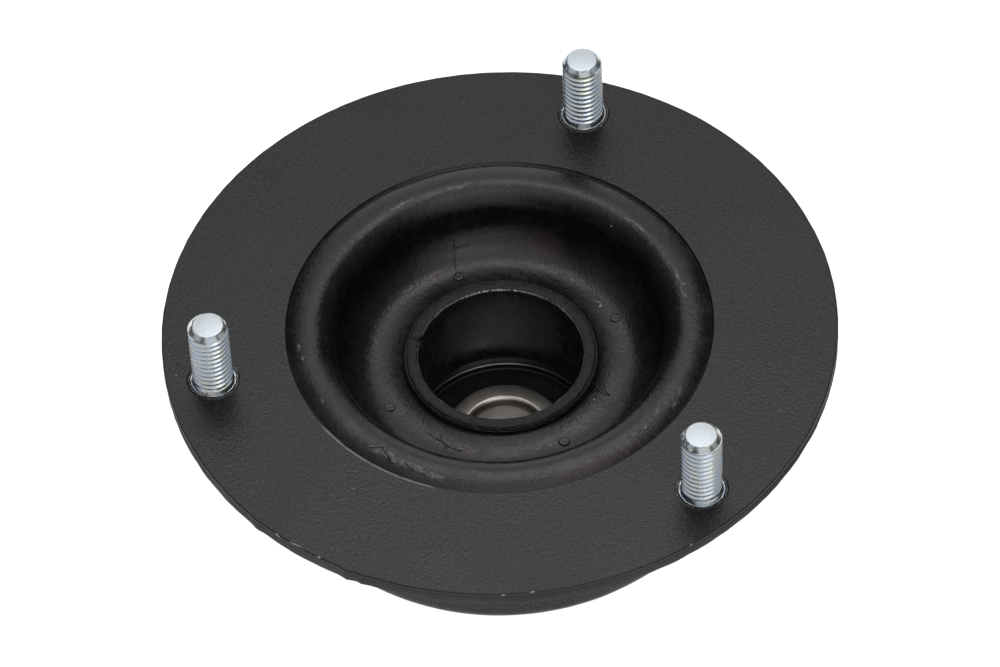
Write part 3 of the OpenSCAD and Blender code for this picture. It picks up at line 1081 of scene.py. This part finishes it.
@dataclass
class RubberElement:
    """Moulded rubber ring between the cup and the housing.

    Attributes:
        opening: radius of the plate's opening.
        crest: radius of the roll's crest.
        rise: height of the crest.
        roll: radius of the roll on its inner side.
        roll_outer: radius of the roll on its outer side.
        bowl: radius of the bowl inside the roll.
        bottom: height of the bowl's bottom.
        slope: radius of the gentle rise to the neck.
        fillet: fillet radius at the neck.
        neck: outside radius of the housing's neck.
        nub: radius of a moulding nub.
        nub_height: height of a moulding nub.
        nubs: angle and radius of each nub, as the photo shows them.
    """

    opening: float = 41.2
    crest: float = 36.5
    rise: float = 0.5
    roll: float = 5.0
    roll_outer: float = 10.0
    bowl: float = 7.9
    bottom: float = -11.65
    slope: float = 12.5
    fillet: float = 1.0
    neck: float = 18.8
    nub: float = 1.1
    nub_height: float = 0.3
    nubs: tuple[Point, ...] = ((128.3, 23.3), (42.4, 24.5), (-41.6, 23.3), (-136.3, 24.0))

    def lift(self) -> float:
        """Height of the centre of the bowl's arc above the centre of the roll's."""
        return max(0.0, self.bottom + self.bowl - self.rise + self.roll)

    def middle(self) -> float:
        """Radius of the bowl's bottom, from where the bowl meets the roll."""
        return self.crest - math.sqrt((self.roll + self.bowl) ** 2 - self.lift() ** 2)

    def section(self) -> list[Point]:
        """Section of the ring, from the plate's edge over the top and back along the bonded faces."""
        shore = self.opening - 0.45
        edge = math.degrees(math.acos((shore - self.crest) / self.roll_outer))
        low_edge = self.rise - self.roll_outer + math.sqrt(
            self.roll_outer**2 - (shore - self.crest) ** 2
        )
        top = [(self.opening, -2.6), (self.opening, low_edge + 0.42)]
        top += [(shore + 0.34, low_edge + 0.32), (shore + 0.16, low_edge + 0.06)]
        top += arc((self.crest, self.rise - self.roll_outer), self.roll_outer, edge, 90, 18)
        middle = self.middle()
        lean = math.degrees(math.asin(self.lift() / (self.roll + self.bowl)))
        top += arc((self.crest, self.rise - self.roll), self.roll, 90, 180 - lean, 30)[1:]
        top += arc((middle, self.bottom + self.bowl), self.bowl, -lean, -90, 36)[1:]
        corner = self.neck + self.fillet
        drop = math.sqrt((self.slope - self.fillet) ** 2 - (middle - corner) ** 2)
        level = self.bottom + self.slope - drop
        turn = math.degrees(math.atan2(drop, middle - corner))
        top += arc((middle, self.bottom + self.slope), self.slope, -90, turn - 180, 16)[1:]
        top += arc((corner, level), self.fillet, turn - 180, -175, 8)[1:]
        top += [(self.neck + 0.04, level + 0.25), (self.neck - 0.05, level + 0.3)]
        # The under side, with its round groove, is out of the photo's sight and follows the solid.
        low = [(self.neck - 0.05, -27.3), (23.9, -32.4)]
        low += arc((32.0, -32.0), 6.5, 180, 0, 24)
        low += [(40.1, -32.0), (42.0, -32.0), (44.05, -30.5), (44.05, -5.5), (44.4, -2.6)]
        return top + low

    def finish(self) -> Material:
        """Builds the rubber with its wear and its painted highlights."""
        cracks = (
            Mark(126.6, 27.7, -10.3, 6.4, 0.32, -16.0), Mark(122.4, 28.9, -9.5, 3.6, 0.18, 92.0),
            Mark(-107.8, 22.3, -11.6, 3.4, 0.42, 83.0), Mark(-101.6, 22.85, -11.6, 3.0, 0.46, 68.0),
            Mark(-95.2, 23.05, -11.6, 3.8, 0.42, 97.0), Mark(-104.0, 22.1, -11.6, 1.8, 0.34, 30.0),
            Mark(-99.3, 23.5, -11.6, 1.6, 0.3, 150.0), Mark(-5.0, 21.2, -11.4, 3.6, 1.0, -12.0),
            Mark(-6.8, 19.5, -11.0, 2.6, 0.8, 62.0), Mark(61.0, 24.2, -11.6, 2.4, 0.22, 30.0),
            Mark(57.0, 24.6, -11.5, 2.0, 0.2, 80.0), Mark(-106.0, 38.4, 0.3, 4.2, 0.4, 58.0),
            Mark(-110.5, 38.0, 0.3, 3.6, 0.4, 120.0), Mark(-99.0, 38.6, 0.3, 3.0, 0.34, 70.0),
        )
        # Pale places: the long marks on the roll's inner edge at 121, 140, 60 and 35 degrees and those on
        # the bowl at 139 and 150 degrees are painted highlights; the worn patch in front on the left is
        # scuffed wear.
        scuffs_and_glints = (
            Mark(-110.5, 38.4, 0.35, 6.5, 2.6, 88.0), Mark(-106.0, 38.0, 0.35, 7.5, 3.2, 94.0),
            Mark(-101.0, 38.2, 0.4, 7.5, 3.4, 86.0), Mark(-96.0, 38.4, 0.35, 7.5, 3.0, 93.0),
            Mark(-91.0, 38.8, 0.3, 7.5, 2.6, 88.0), Mark(-92.0, 22.7, -11.6, 5.5, 1.8, 90.0),
            Mark(-86.5, 22.5, -11.6, 5.5, 1.6, 90.0), Mark(-103.0, 22.9, -11.6, 7.0, 2.0, 80.0),
            Mark(-97.0, 23.2, -11.6, 5.5, 1.7, 90.0), Mark(139.0, 25.6, -11.4, 9.0, 1.5, 90.0),
            Mark(150.0, 25.7, -11.3, 8.0, 1.3, 90.0), Mark(55.0, 23.9, -11.6, 6.5, 1.5, 90.0),
            Mark(74.0, 24.6, -11.5, 8.0, 1.2, 90.0), Mark(-48.0, 22.6, -11.6, 6.5, 1.7, 90.0),
            Mark(121.0, 35.6, 0.3, 12.0, 2.0, 90.0), Mark(140.0, 35.8, 0.3, 16.0, 1.6, 90.0),
            Mark(60.0, 35.7, 0.3, 18.0, 1.7, 90.0), Mark(35.0, 35.9, 0.3, 12.0, 1.4, 90.0),
            Mark(-30.0, 38.0, 0.3, 6.0, 1.8, 90.0), Mark(-155.4, 38.9, 0.2, 3.4, 1.6, 80.0),
            Mark(-151.0, 38.6, 0.2, 2.4, 1.2, 100.0), Mark(-134.3, 38.3, 0.3, 3.0, 1.3, 50.0),
            Mark(-20.0, 37.6, 0.4, 5.0, 1.7, 100.0), Mark(-26.5, 38.2, 0.3, 4.5, 1.8, 85.0),
            Mark(-10.0, 38.7, 0.3, 4.5, 1.2, 95.0), Mark(-14.5, 39.2, 0.2, 3.0, 1.0, 80.0),
            Mark(27.0, 36.0, 0.4, 6.0, 1.6, 95.0), Mark(-104.5, 38.3, 0.3, 5.0, 1.8, 60.0),
            Mark(-99.0, 38.0, 0.35, 6.0, 1.4, 80.0),
        )
        # Brownish marks painted in as warm highlights on the smooth rubber.
        warm_highlights = (
            Mark(121.5, 29.0, -9.5, 6.5, 5.0, 90.0), Mark(90.0, 29.0, -9.5, 9.0, 5.0, 90.0),
            Mark(-44.0, 39.0, 0.1, 26.0, 3.4, 90.0), Mark(-88.5, 22.4, -11.6, 6.0, 2.6, 90.0),
            Mark(-47.0, 21.7, -11.5, 7.0, 2.8, 90.0), Mark(138.0, 25.4, -11.4, 9.0, 2.2, 90.0),
        )
        specks = (
            Mark(52.4, 23.6, -11.6, 0.9, 0.42, 20.0), Mark(-12.0, 20.5, -11.3, 0.4, 0.4),
            Mark(31.0, 36.6, 0.5, 0.35, 0.35), Mark(66.0, 33.0, -1.2, 0.3, 0.3),
        )
        return MouldedRubber(
            "moulded_black_rubber", cracks=cracks, scuffs_and_glints=scuffs_and_glints, warm_highlights=warm_highlights, specks=specks
        ).build()

    def surface(self, radius: float) -> float:
        """Height of the bowl at a radius.

        Args:
            radius: distance from the axis.

        Returns:
            The height from the plate's top face.
        """
        side = radius - self.middle()
        curve = self.slope if side < 0 else self.bowl
        return self.bottom + curve - math.sqrt(curve**2 - side**2)

    def build(self) -> Object:
        """Builds the ring with its nubs.

        Returns:
            The piece that stands for the rubber.
        """
        bm = bmesh.new()
        for v in lathe(bm, self.section(), 320):
            spot = v.co / (11.0 * MM)
            if v.co.z > -15 * MM:
                v.co.z += 0.09 * noise.noise(spot) * MM
        for angle, radius in self.nubs:
            a = math.radians(angle)
            base = self.surface(radius)
            lens = [(self.nub + 0.12, base - 0.3), (self.nub, base + 0.05)]
            lens += [
                (self.nub * 0.9, base + self.nub_height * 0.8), (self.nub * 0.7, base + self.nub_height),
                (self.nub * 0.4, base + self.nub_height * 0.9), (0.0, base + self.nub_height * 0.85),
            ]
            lathe(bm, lens, 28, (radius * math.cos(a), radius * math.sin(a)), closed=False)
        return piece(bm, "rubber_ring", self.finish(), Body.MOUNT, ("rubber_element",))


@dataclass
class BearingHousing:
    """Steel housing in the rubber: a neck above, the bearing's seat and a rolled lip below.

    Attributes:
        neck: inside radius of the neck.
        neck_outer: outside radius of the neck.
        top: height of the neck's top edge.
        chamber: radius of the chamber above the bearing.
        chamber_top: height of the chamber's roof.
        seat: radius of the bearing's seat.
        seat_top: height of the seat's shoulder.
        seat_outer: outside radius round the seat.
        lip: height of the lip's upper face.
        bottom: height of the lip's lower face.
        lip_inner: inside radius of the lip.
    """

    neck: float = 15.9
    neck_outer: float = 18.8
    top: float = -9.0
    chamber: float = 19.0
    chamber_top: float = -30.5
    seat: float = 21.0
    seat_top: float = -34.5
    seat_outer: float = 24.0
    lip: float = -47.5
    bottom: float = -49.3
    lip_inner: float = 19.2

    def section(self) -> list[Point]:
        """Section of the housing, from the neck's outside over its edge and down the inside."""
        rim = [
            (self.neck_outer, -11.5), (self.neck_outer, self.top - 0.75),
            (self.neck_outer - 0.18, self.top - 0.36), (self.neck_outer - 0.42, self.top - 0.4),
            (self.neck_outer - 0.6, self.top - 0.1), (self.neck_outer - 0.85, self.top),
            (self.neck + 0.62, self.top - 0.03), (self.neck + 0.34, self.top - 0.1),
            (self.neck + 0.08, self.top - 0.36), (self.neck, self.top - 0.7),
        ]
        roof = arc((self.neck + 1.4, self.chamber_top + 1.4), 1.4, 180, 270, 8)
        inside = [
            (self.chamber, self.chamber_top), (self.chamber, self.seat_top), (self.seat, self.seat_top),
            (self.seat, self.lip),
        ]
        lip = rounded(
            [
                inside[-1],
                (self.lip_inner, self.lip), (self.lip_inner, self.bottom), (self.seat_outer, self.bottom),
                (self.seat_outer, -32.5), (self.neck_outer, -27.3), (self.neck_outer, -20.0),
            ],
            1.2,
            steps=5,
            closed=False,
        )
        return rim + [(self.neck, -14.0), (self.neck, -22.0)] + roof + inside + lip[1:]

    def build(self) -> Object:
        """Builds the housing.

        Returns:
            The piece that stands for the housing.
        """
        bm = bmesh.new()
        for v in lathe(bm, self.section(), 288):
            self.trim(v)
        cuts = (
            Mark(-177.4, 17.2, -9.0, 2.9, 0.7, 14.0, depth=3.0),
            Mark(-170.0, 16.4, -9.2, 1.2, 0.5, 60.0, depth=3.0),
            Mark(118.0, 17.9, -9.1, 3.5, 0.4, 80.0, depth=2.0),
            Mark(-25.0, 17.4, -9.0, 1.6, 0.5, 40.0, depth=2.0),
        )
        finish = CoatedSteel("black_coated_steel", cuts=cuts)
        return piece(
            bm, "bearing_sleeve", finish.build(), Body.MOUNT, ("bearing_housing",)
        )

    def trim(self, v: bmesh.types.BMVert) -> None:
        """Makes the trimmed top edge uneven and cuts its notch.

        Args:
            v: vertex of the housing.
        """
        radius = math.hypot(v.co.x, v.co.y) / MM
        if v.co.z < (self.top - 0.9) * MM or radius > self.neck_outer + 0.1:
            return
        spot = v.co / (1.3 * MM)
        v.co.z += (0.17 * noise.noise(spot) + 0.07 * noise.noise(spot * 2.6)) * MM
        turn = math.degrees(math.atan2(v.co.y, v.co.x)) % 360
        notch = math.exp(-(((turn - 182.6) / 1.6) ** 2)) * max(0.0, (17.6 - radius) / 1.7)
        v.co.z -= 0.7 * notch * MM
        reach = 0.06 * noise.noise(spot * 1.3) + 0.5 * notch
        if radius < self.neck + 0.5:
            v.co.xy *= 1 + reach / radius


@dataclass
class Bearing:
    """Sealed ball bearing in the housing.

    Attributes:
        centre: height of its middle.
        half: half of the outer ring's width.
        rise: distance by which the inner ring stands up.
        bore: radius of the bore.
        inner: outside radius of the inner ring.
        outer_land: inside radius of the outer ring.
        outer: outside radius of the outer ring.
        seal: radius of the seals.
        pitch: radius of the circle of balls.
        groove: radius of the race grooves.
        ball: distance from the circle of balls to a groove's bottom.
        recess: height of the step that the seals lie on.
    """

    centre: float = -41.0
    half: float = 6.5
    rise: float = 2.0
    bore: float = 7.0
    inner: float = 11.55
    outer_land: float = 16.85
    outer: float = 21.0
    seal: float = 18.15
    pitch: float = 14.2
    groove: float = 4.13
    ball: float = 4.02
    recess: float = 5.2

    def spun(
        self,
        name: str,
        section: list[Point],
        finish: Material,
        body: Body,
        node: str,
    ) -> Object:
        """Spins one ring of the bearing.

        Args:
            name: name of the piece.
            section: section about the bearing's middle.
            finish: its material.
            body: body that it rides on.
            node: node that it stands for.

        Returns:
            The new piece.
        """
        bm = bmesh.new()
        lathe(bm, [(r, z + self.centre) for r, z in section], 192)
        return piece(bm, name, finish, body, (node,))

    def build(self) -> None:
        """Builds the rings and the seals, and dresses the pieces inside."""
        steel = GroundSteel("ground_bearing_steel").build()
        track = arc((self.pitch - self.ball + self.groove, 0.0), self.groove, 128, 232, 24)
        inner = rounded(
            [(self.bore, 1.2 - self.half), (self.bore + 0.9, -self.half), (self.inner, -self.half)],
            0.5,
            closed=False,
        )
        inner += [(self.inner, track[-1][1] - 0.1)] + track[::-1]
        inner += rounded(
            [
                (self.inner, track[0][1] + 0.1), (self.inner, self.half + self.rise),
                (self.bore + 0.95, self.half + self.rise), (self.bore, self.half + self.rise - 1.15),
                (self.bore, 0.0),
            ],
            0.55,
            steps=5,
            closed=False,
        )
        self.spun("inner_race", inner, steel, Body.INNER_RING, "bearing_inner_ring")
        far = arc((self.pitch + self.ball - self.groove, 0.0), self.groove, -46, 46, 24)
        recess = self.recess
        outer = [(self.outer_land, -recess), (self.outer_land, far[0][1] - 0.1)] + far
        outer += [(self.outer_land, far[-1][1] + 0.1), (self.outer_land, recess)]
        outer += [(self.seal, recess), (self.seal, self.half - 0.15), (self.seal + 0.15, self.half)]
        outer += [(self.outer - 0.8, self.half), (self.outer, self.half - 0.8)]
        outer += [(self.outer, 0.8 - self.half), (self.outer - 0.8, -self.half)]
        outer += [(self.seal + 0.15, -self.half), (self.seal, 0.15 - self.half), (self.seal, -recess)]
        self.spun("outer_race", outer, steel, Body.MOUNT, "bearing_outer_ring")
        rubber = MouldedRubber(
            "moulded_seal_rubber", colour="161515", bloom="232222", roughness=0.5
        ).build()
        shield = rounded(
            [
                (11.8, recess), (12.6, recess), (12.6, recess + 0.3), (17.25, recess + 0.3),
                (17.25, recess), (self.seal, recess), (self.seal, self.half - 0.3),
                (17.4, self.half - 0.3), (17.1, self.half - 0.5), (13.0, self.half - 0.55),
                (12.7, self.half - 0.3), (11.8, self.half - 0.3),
            ],
            0.15,
        )
        self.spun("upper_shield", shield, rubber, Body.MOUNT, "upper_seal")
        under = [(r, -z) for r, z in reversed(shield)]
        self.spun("lower_shield", under, rubber, Body.MOUNT, "lower_seal")
        ball = GroundSteel(
            "polished_ball_steel", colour="c4c2be", stain="b4b1ac", roughness=0.14
        ).build()
        for name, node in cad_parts.items():
            inside = name.startswith("cage_") or name.endswith("_core")
            if inside or name.startswith("ball_"):
                node.data.materials.clear()
                node.data.materials.append(steel if inside else ball)


@dataclass
class Studio:
    """Floor, lights and camera.

    Attributes:
        floor: height of the floor.
        elevation: camera's elevation in degrees.
        azimuth: camera's direction in degrees.
        distance: camera's distance from the plate's middle.
        lens: focal length on a 36 mm sensor.
        roll: turn of the picture in degrees.
        across: camera's offset to the right.
        rise: camera's offset upwards.
    """

    floor: float = -49.3
    elevation: float = 50.53
    azimuth: float = 19.59
    distance: float = 1144.0
    lens: float = 214.45
    roll: float = -2.97
    across: float = 0.116
    rise: float = -1.89

    def away(self, turn: float, elevation: float, distance: float) -> Vector:
        """Place seen from the mount.

        Args:
            turn: direction in degrees from the camera's own.
            elevation: elevation in degrees.
            distance: distance in millimetres.

        Returns:
            The place in metres.
        """
        a = math.radians(self.azimuth + turn)
        e = math.radians(elevation)
        flat = math.cos(e)
        return Vector((math.sin(a) * flat, -math.cos(a) * flat, math.sin(e))) * distance * MM

    def ground(self) -> None:
        """Lays the pale floor."""
        bm = bmesh.new()
        bmesh.ops.create_grid(
            bm,
            x_segments=1,
            y_segments=1,
            size=2.5,
            matrix=Matrix.Translation((0.0, 0.0, self.floor * MM)),
        )
        mesh = bpy.data.meshes.new("floor")
        bm.to_mesh(mesh)
        bm.free()
        obj = bpy.data.objects.new("floor", mesh)
        bpy.context.scene.collection.objects.link(obj)
        paper = Finish("white_paper")
        material, tree, place = paper.start()
        fibre = add(tree, "TexNoise", {"Vector": place, "Scale": 1 / (40 * MM), "Detail": 3.0})
        pale = {0: fibre, 6: linear("b2b2b2"), 7: linear("b8b8b8")}
        # The floor glows white, and under the bore its glow is turned down as a painted shadow of the mount.
        ramp = {"From Min": 20 * MM, "From Max": 27 * MM, "To Min": 0.22}
        looks = {
            "Base Color": add(tree, "Mix", pale, data_type="RGBA"),
            "Roughness": 0.9,
            "Specular IOR Level": 0.1,
            "Emission Color": WHITE,
            "Emission Strength": add(tree, "MapRange", {"Value": paper.radius(tree, place)} | ramp),
        }
        paper.close(material, looks)
        mesh.materials.append(material)

    def light(
        self, name: str, at: Vector, width: float, depth: float, radiance: float, code: str
    ) -> Object:
        """Hangs a soft box that faces the mount.

        Args:
            name: name of the light.
            at: its place in metres.
            width: its width in metres.
            depth: its height in metres.
            radiance: how bright its face is.
            code: its colour.

        Returns:
            The light.
        """
        lamp = bpy.data.lights.new(name, "AREA")
        lamp.shape = "RECTANGLE"
        lamp.size = width
        lamp.size_y = depth
        lamp.energy = radiance * math.pi * width * depth
        lamp.color = linear(code)[:3]
        obj = bpy.data.objects.new(name, lamp)
        obj.location = at
        obj.rotation_euler = (-at).to_track_quat("-Z", "Y").to_euler()
        bpy.context.scene.collection.objects.link(obj)
        return obj

    def lights(self, studs: Object) -> None:
        """Hangs the soft boxes and sets the surround.

        Args:
            studs: the studs, which two cards of their own light from the sides.
        """
        lit = bpy.data.collections.new("stud_cards")
        lit.objects.link(studs)
        for name, turn, radiance in (("left_card", -88, 0.42), ("right_card", 100, 0.36)):
            card = self.light(name, self.away(turn, 44, 1100), 1.5, 0.95, radiance, "f4f8ff")
            card.light_linking.receiver_collection = lit
        # Name, direction, elevation, distance, width, height, radiance and colour.
        boxes = (
            ("key_box", 178, 65.5, 800, 0.52, 0.28, 2.4, "ffffff"),
            ("key_spot", 146, 71, 800, 0.16, 0.13, 2.0, "ffffff"),
            ("back_sheet", 180, 46, 1100, 0.76, 0.38, 0.72, "ffffff"),
            ("low_sheet", 180, 17, 1100, 0.85, 0.76, 0.9, "ffffff"),
            ("top_box", 0, 83, 1000, 0.8, 0.7, 0.92, "ffffff"),
            ("front_sheet", 12, 42, 1500, 1.5, 1.3, 0.75, "f6f9ff"),
            ("front_key", 26, 67, 1000, 0.42, 0.45, 0.6, "fffaf4"),
            ("front_low", 0, 8, 1500, 1.6, 0.5, 0.4, "f6f9ff"),
            ("left_high", -90, 58, 1100, 1.4, 0.32, 0.28, "f0f5ff"),
            ("right_high", 90, 58, 1100, 1.4, 0.32, 0.18, "f0f5ff"),
            ("left_low", -92, 38, 1100, 1.1, 0.45, 0.12, "e6efff"),
            ("right_low", 92, 38, 1100, 1.1, 0.45, 0.1, "e6efff"),
        )
        for name, turn, elevation, distance, width, depth, radiance, code in boxes:
            self.light(name, self.away(turn, elevation, distance), width, depth, radiance, code)
        world = bpy.data.worlds.new("studio")
        world.use_nodes = True
        shade = world.node_tree.nodes["Background"]
        shade.inputs["Color"].default_value = WHITE
        shade.inputs["Strength"].default_value = 0.04
        bpy.context.scene.world = world

    def camera(self) -> None:
        """Places the camera at the photo's angle."""
        data = bpy.data.cameras.new("camera")
        data.lens = self.lens
        data.sensor_width = 36.0
        data.clip_end = 20.0
        obj = bpy.data.objects.new("camera", data)
        bpy.context.scene.collection.objects.link(obj)
        at = self.away(0, self.elevation, self.distance)
        turn = (-at).to_track_quat("-Z", "Y").to_matrix().to_4x4()
        turn = turn @ Matrix.Rotation(math.radians(self.roll), 4, "Z")
        right, up = turn.col[0].xyz, turn.col[1].xyz
        at = at + (right * self.across + up * self.rise) * MM
        obj.matrix_world = Matrix.Translation(at) @ turn
        bpy.context.scene.camera = obj

    def build(self, studs: Object) -> None:
        """Builds the studio.

        Args:
            studs: the studs, which have cards of their own.
        """
        self.ground()
        self.lights(studs)
        self.camera()
        bpy.context.scene.view_settings.view_transform = "Standard"


def main() -> None:
    """Builds every piece in order."""
    logging.basicConfig(level=logging.INFO, format="%(name)s: %(message)s")
    plate = MountingPlate()
    plate.build()
    studs = Studs().build(plate.places())
    LowerCup().build()
    RubberElement().build()
    BearingHousing().build()
    Bearing().build()
    Studio().build(studs)


if __name__ == "__main__":
    main()
